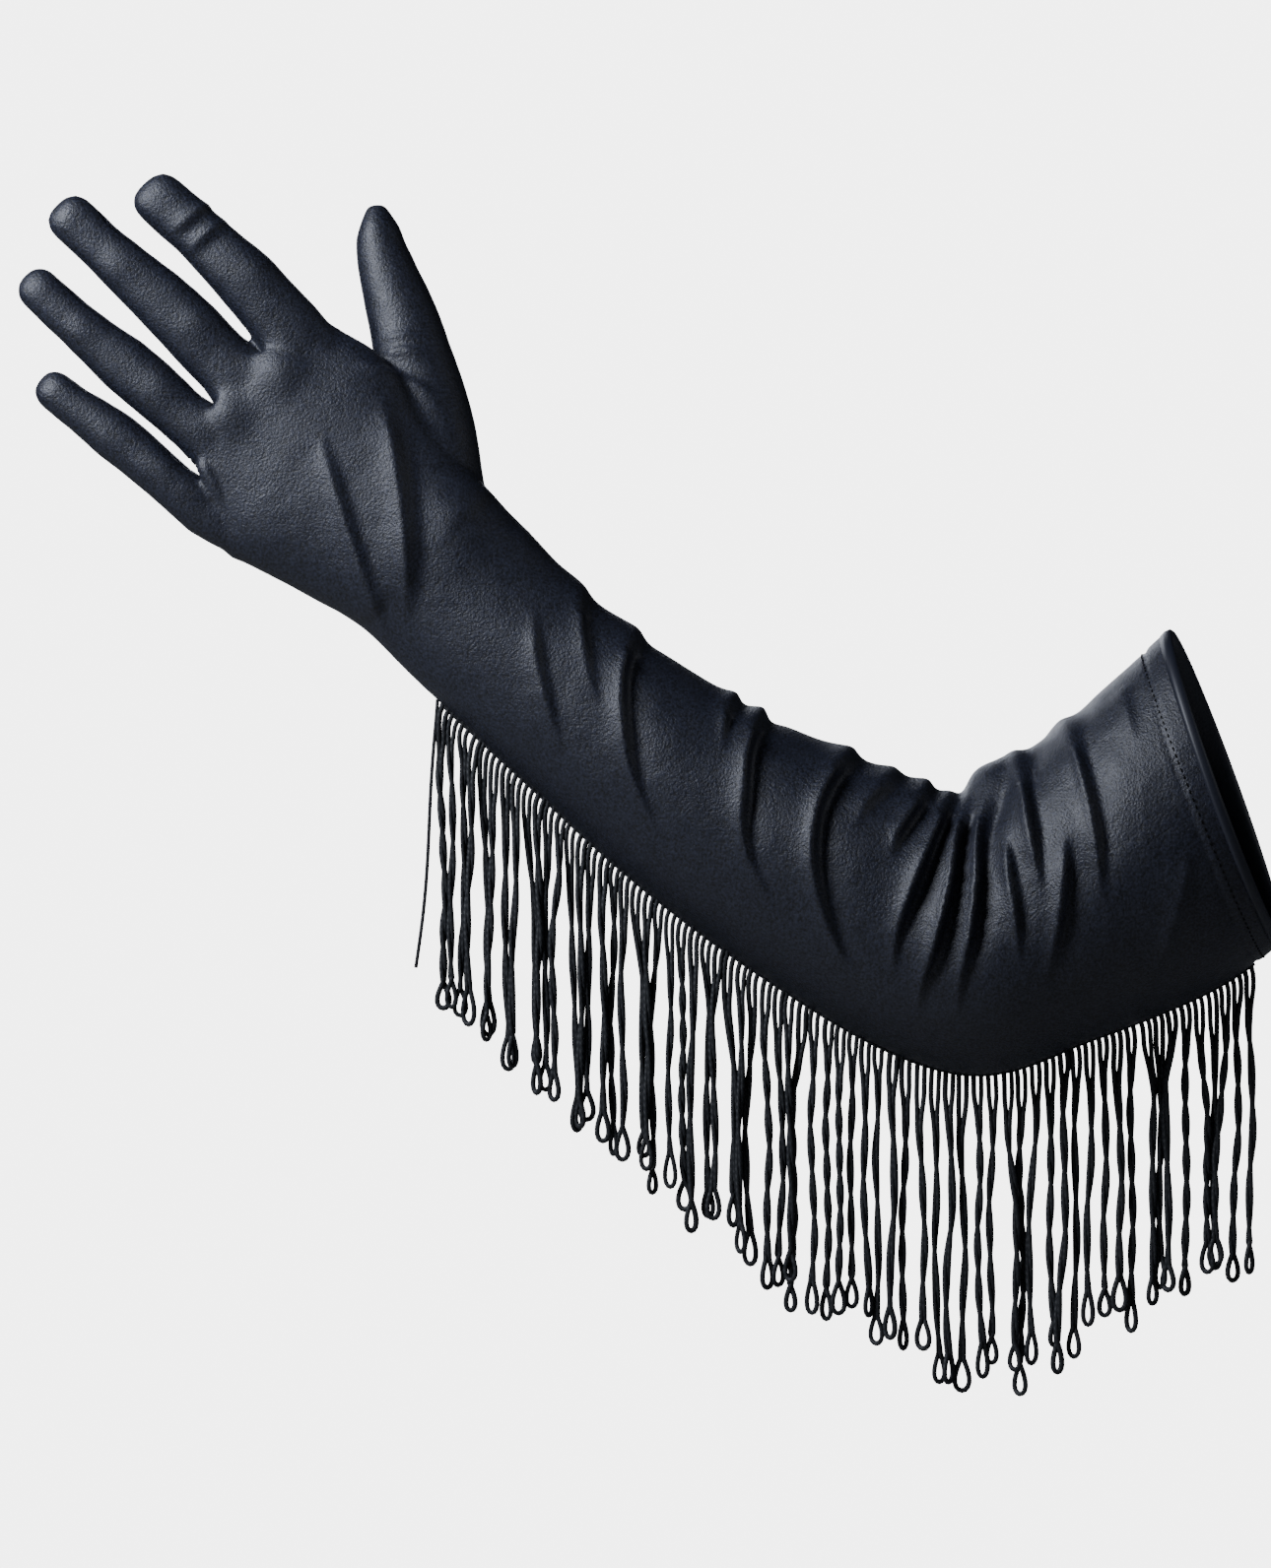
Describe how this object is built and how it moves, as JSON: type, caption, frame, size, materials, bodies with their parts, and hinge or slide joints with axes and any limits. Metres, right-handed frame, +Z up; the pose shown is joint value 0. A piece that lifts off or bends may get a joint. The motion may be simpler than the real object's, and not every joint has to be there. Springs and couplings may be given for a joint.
{
  "type": "opera glove",
  "caption": "Long over-the-elbow stretch satin glove for the left hand, filled and bent as worn, with a looped yarn fringe along the little-finger seam.",
  "frame": {"origin": "centre of the arm opening at the cuff", "axes": "+Z up, fingers towards -X and up, back of the hand towards -Y, palm towards +Y"},
  "size_m": [0.4238, 0.0918, 0.4028],
  "materials": {
    "satin": "black stretch satin, soft sheen",
    "elastic": "covered elastic",
    "yarn": "black twisted rayon yarn",
    "thread": "black polyester thread"
  },
  "bodies": {
    "sleeve": {"upper_sleeve": "satin", "elbow_sleeve": "satin", "hem_turning": "satin", "cuff_elastic": "elastic", "hem_stitching": "thread", "fringe_tape_upper": "yarn"},
    "forearm": {"forearm_sleeve": "satin", "wrist_sleeve": "satin", "fringe_tape_forearm": "yarn"},
    "hand": {"hand_sleeve": "satin", "index_root": "satin", "middle_root": "satin", "ring_root": "satin", "little_root": "satin", "thumb_root": "satin"},
    "index": {"index_finger": "satin", "index_fourchette_little_side": "satin"},
    "middle": {"middle_finger": "satin", "middle_fourchette_thumb_side": "satin", "middle_fourchette_little_side": "satin"},
    "ring": {"ring_finger": "satin", "ring_fourchette_thumb_side": "satin", "ring_fourchette_little_side": "satin"},
    "little": {"little_finger": "satin", "little_fourchette_thumb_side": "satin"},
    "thumb": {"thumb": "satin"},
    "fringe_section_01": {"fringe_01": "yarn"},
    "fringe_section_02": {"fringe_02": "yarn"},
    "fringe_section_03": {"fringe_03": "yarn"},
    "fringe_section_04": {"fringe_04": "yarn"},
    "fringe_section_05": {"fringe_05": "yarn"},
    "fringe_section_06": {"fringe_06": "yarn"},
    "fringe_section_07": {"fringe_07": "yarn"},
    "fringe_tape_07": {"fringe_tape_07": "yarn"},
    "fringe_section_08": {"fringe_08": "yarn"},
    "fringe_tape_08": {"fringe_tape_08": "yarn"},
    "fringe_section_09": {"fringe_09": "yarn"},
    "fringe_tape_09": {"fringe_tape_09": "yarn"},
    "fringe_section_10": {"fringe_10": "yarn"},
    "fringe_tape_10": {"fringe_tape_10": "yarn"},
    "fringe_section_11": {"fringe_11": "yarn"},
    "fringe_section_12": {"fringe_12": "yarn"},
    "fringe_section_13": {"fringe_13": "yarn"},
    "fringe_section_14": {"fringe_14": "yarn"},
    "fringe_section_15": {"fringe_15": "yarn"},
    "fringe_section_16": {"fringe_16": "yarn"},
    "fringe_section_17": {"fringe_17": "yarn"},
    "fringe_section_18": {"fringe_18": "yarn"},
    "fringe_section_19": {"fringe_19": "yarn"},
    "fringe_section_20": {"fringe_20": "yarn"},
    "fringe_section_21": {"fringe_21": "yarn"},
    "fringe_section_22": {"fringe_22": "yarn"}
  },
  "joints": [
    {"name": "elbow_bend", "type": "hinge", "parent": "sleeve", "child": "forearm", "pos_m": [-0.088, 0, -0.046], "axis": [0, 1, 0], "range_deg": [-60, 45], "deforming": ["elbow_sleeve"]},
    {"name": "wrist_bend", "type": "hinge", "parent": "forearm", "child": "hand", "pos_m": [-0.25, 0, 0.0585], "axis": [-0.7071, 0, -0.7071], "range_deg": [-45, 45], "deforming": ["wrist_sleeve"]},
    {"name": "index_bend", "type": "hinge", "parent": "hand", "child": "index", "pos_m": [-0.32323, 0, 0.16327], "axis": [-0.7113, 0, -0.7029], "range_deg": [-10, 60], "deforming": ["index_root"]},
    {"name": "middle_bend", "type": "hinge", "parent": "hand", "child": "middle", "pos_m": [-0.33727, 0, 0.14355], "axis": [-0.6915, 0, -0.7224], "range_deg": [-10, 60], "deforming": ["middle_root"]},
    {"name": "ring_bend", "type": "hinge", "parent": "hand", "child": "ring", "pos_m": [-0.35121, 0, 0.12633], "axis": [-0.6636, 0, -0.7481], "range_deg": [-10, 60], "deforming": ["ring_root"]},
    {"name": "little_bend", "type": "hinge", "parent": "hand", "child": "little", "pos_m": [-0.35367, 0, 0.1026], "axis": [-0.6297, 0, -0.7769], "range_deg": [-10, 60], "deforming": ["little_root"]},
    {"name": "thumb_bend", "type": "hinge", "parent": "hand", "child": "thumb", "pos_m": [-0.2738, 0.0144, 0.155], "axis": [-0.96, 0, -0.28], "range_deg": [-20, 35], "deforming": ["thumb_root"]},
    {"name": "fringe_sway_01", "type": "hinge", "parent": "sleeve", "child": "fringe_section_01", "pos_m": [0.00463, 0, -0.06386], "axis": [1, 0, 0], "range_deg": [-35, 35], "deforming": ["fringe_01"]},
    {"name": "fringe_sway_02", "type": "hinge", "parent": "sleeve", "child": "fringe_section_02", "pos_m": [-0.0084, 0, -0.07109], "axis": [1, 0, 0], "range_deg": [-35, 35], "deforming": ["fringe_02"]},
    {"name": "fringe_sway_03", "type": "hinge", "parent": "sleeve", "child": "fringe_section_03", "pos_m": [-0.02198, 0, -0.07703], "axis": [1, 0, 0], "range_deg": [-35, 35], "deforming": ["fringe_03"]},
    {"name": "fringe_sway_04", "type": "hinge", "parent": "sleeve", "child": "fringe_section_04", "pos_m": [-0.0357, 0, -0.08235], "axis": [1, 0, 0], "range_deg": [-35, 35], "deforming": ["fringe_04"]},
    {"name": "fringe_sway_05", "type": "hinge", "parent": "sleeve", "child": "fringe_section_05", "pos_m": [-0.04954, 0, -0.08754], "axis": [1, 0, 0], "range_deg": [-35, 35], "deforming": ["fringe_05"]},
    {"name": "fringe_sway_06", "type": "hinge", "parent": "sleeve", "child": "fringe_section_06", "pos_m": [-0.06325, 0, -0.0933], "axis": [1, 0, 0], "range_deg": [-35, 35], "deforming": ["fringe_06"]},
    {"name": "tape_turn_07", "type": "hinge", "parent": "sleeve", "child": "fringe_tape_07", "pos_m": [-0.088, 0, -0.046], "axis": [0, 1, 0], "range_deg": [-3.3, 2.6], "deforming": ["fringe_tape_07"]},
    {"name": "fringe_hang_07", "type": "hinge", "parent": "fringe_tape_07", "child": "fringe_section_07", "pos_m": [-0.0775, 0, -0.09691], "axis": [0, 1, 0], "range_deg": [-2.6, 3.3], "deforming": ["fringe_07"]},
    {"name": "tape_turn_08", "type": "hinge", "parent": "sleeve", "child": "fringe_tape_08", "pos_m": [-0.088, 0, -0.046], "axis": [0, 1, 0], "range_deg": [-20, 15.1], "deforming": ["fringe_tape_08"]},
    {"name": "fringe_hang_08", "type": "hinge", "parent": "fringe_tape_08", "child": "fringe_section_08", "pos_m": [-0.0921, 0, -0.09625], "axis": [0, 1, 0], "range_deg": [-15.1, 20], "deforming": ["fringe_08"]},
    {"name": "tape_turn_09", "type": "hinge", "parent": "sleeve", "child": "fringe_tape_09", "pos_m": [-0.088, 0, -0.046], "axis": [0, 1, 0], "range_deg": [-41.2, 31.1], "deforming": ["fringe_tape_09"]},
    {"name": "fringe_hang_09", "type": "hinge", "parent": "fringe_tape_09", "child": "fringe_section_09", "pos_m": [-0.10622, 0, -0.09201], "axis": [0, 1, 0], "range_deg": [-31.1, 41.2], "deforming": ["fringe_09"]},
    {"name": "tape_turn_10", "type": "hinge", "parent": "sleeve", "child": "fringe_tape_10", "pos_m": [-0.088, 0, -0.046], "axis": [0, 1, 0], "range_deg": [-57, 42.9], "deforming": ["fringe_tape_10"]},
    {"name": "fringe_hang_10", "type": "hinge", "parent": "fringe_tape_10", "child": "fringe_section_10", "pos_m": [-0.11974, 0, -0.08588], "axis": [0, 1, 0], "range_deg": [-42.9, 57], "deforming": ["fringe_10"]},
    {"name": "fringe_hang_11", "type": "hinge", "parent": "forearm", "child": "fringe_section_11", "pos_m": [-0.13305, 0, -0.07841], "axis": [0, 1, 0], "range_deg": [-45, 60], "deforming": ["fringe_11"]},
    {"name": "fringe_hang_12", "type": "hinge", "parent": "forearm", "child": "fringe_section_12", "pos_m": [-0.14576, 0, -0.07038], "axis": [0, 1, 0], "range_deg": [-45, 60], "deforming": ["fringe_12"]},
    {"name": "fringe_hang_13", "type": "hinge", "parent": "forearm", "child": "fringe_section_13", "pos_m": [-0.15789, 0, -0.06241], "axis": [0, 1, 0], "range_deg": [-45, 60], "deforming": ["fringe_13"]},
    {"name": "fringe_hang_14", "type": "hinge", "parent": "forearm", "child": "fringe_section_14", "pos_m": [-0.16975, 0, -0.05416], "axis": [0, 1, 0], "range_deg": [-45, 60], "deforming": ["fringe_14"]},
    {"name": "fringe_hang_15", "type": "hinge", "parent": "forearm", "child": "fringe_section_15", "pos_m": [-0.18151, 0, -0.04547], "axis": [0, 1, 0], "range_deg": [-45, 60], "deforming": ["fringe_15"]},
    {"name": "fringe_hang_16", "type": "hinge", "parent": "forearm", "child": "fringe_section_16", "pos_m": [-0.19312, 0, -0.03637], "axis": [0, 1, 0], "range_deg": [-45, 60], "deforming": ["fringe_16"]},
    {"name": "fringe_hang_17", "type": "hinge", "parent": "forearm", "child": "fringe_section_17", "pos_m": [-0.20429, 0, -0.02699], "axis": [0, 1, 0], "range_deg": [-45, 60], "deforming": ["fringe_17"]},
    {"name": "fringe_hang_18", "type": "hinge", "parent": "forearm", "child": "fringe_section_18", "pos_m": [-0.21508, 0, -0.01728], "axis": [0, 1, 0], "range_deg": [-45, 60], "deforming": ["fringe_18"]},
    {"name": "fringe_hang_19", "type": "hinge", "parent": "forearm", "child": "fringe_section_19", "pos_m": [-0.22592, 0, -0.00718], "axis": [0, 1, 0], "range_deg": [-45, 60], "deforming": ["fringe_19"]},
    {"name": "fringe_hang_20", "type": "hinge", "parent": "forearm", "child": "fringe_section_20", "pos_m": [-0.23686, 0, 0.00303], "axis": [0, 1, 0], "range_deg": [-45, 60], "deforming": ["fringe_20"]},
    {"name": "fringe_hang_21", "type": "hinge", "parent": "forearm", "child": "fringe_section_21", "pos_m": [-0.24749, 0, 0.01282], "axis": [0, 1, 0], "range_deg": [-45, 60], "deforming": ["fringe_21"]},
    {"name": "fringe_hang_22", "type": "hinge", "parent": "forearm", "child": "fringe_section_22", "pos_m": [-0.25811, 0, 0.02268], "axis": [0, 1, 0], "range_deg": [-45, 60], "deforming": ["fringe_22"]}
  ],
  "couplings": [
    {"joint": "fringe_sway_02", "follows": "fringe_sway_01", "ratio": 1},
    {"joint": "fringe_sway_03", "follows": "fringe_sway_01", "ratio": 1},
    {"joint": "fringe_sway_04", "follows": "fringe_sway_01", "ratio": 1},
    {"joint": "fringe_sway_05", "follows": "fringe_sway_01", "ratio": 1},
    {"joint": "fringe_sway_06", "follows": "fringe_sway_01", "ratio": 1},
    {"joint": "tape_turn_07", "follows": "elbow_bend", "ratio": 0.0472},
    {"joint": "fringe_hang_07", "follows": "elbow_bend", "ratio": -0.0472},
    {"joint": "tape_turn_08", "follows": "elbow_bend", "ratio": 0.3242},
    {"joint": "fringe_hang_08", "follows": "elbow_bend", "ratio": -0.3242},
    {"joint": "tape_turn_09", "follows": "elbow_bend", "ratio": 0.6789},
    {"joint": "fringe_hang_09", "follows": "elbow_bend", "ratio": -0.6789},
    {"joint": "tape_turn_10", "follows": "elbow_bend", "ratio": 0.9412},
    {"joint": "fringe_hang_10", "follows": "elbow_bend", "ratio": -0.9412},
    {"joint": "fringe_hang_11", "follows": "elbow_bend", "ratio": -1},
    {"joint": "fringe_hang_12", "follows": "elbow_bend", "ratio": -1},
    {"joint": "fringe_hang_13", "follows": "elbow_bend", "ratio": -1},
    {"joint": "fringe_hang_14", "follows": "elbow_bend", "ratio": -1},
    {"joint": "fringe_hang_15", "follows": "elbow_bend", "ratio": -1},
    {"joint": "fringe_hang_16", "follows": "elbow_bend", "ratio": -1},
    {"joint": "fringe_hang_17", "follows": "elbow_bend", "ratio": -1},
    {"joint": "fringe_hang_18", "follows": "elbow_bend", "ratio": -1},
    {"joint": "fringe_hang_19", "follows": "elbow_bend", "ratio": -1},
    {"joint": "fringe_hang_20", "follows": "elbow_bend", "ratio": -1},
    {"joint": "fringe_hang_21", "follows": "elbow_bend", "ratio": -1},
    {"joint": "fringe_hang_22", "follows": "elbow_bend", "ratio": -1}
  ]
}
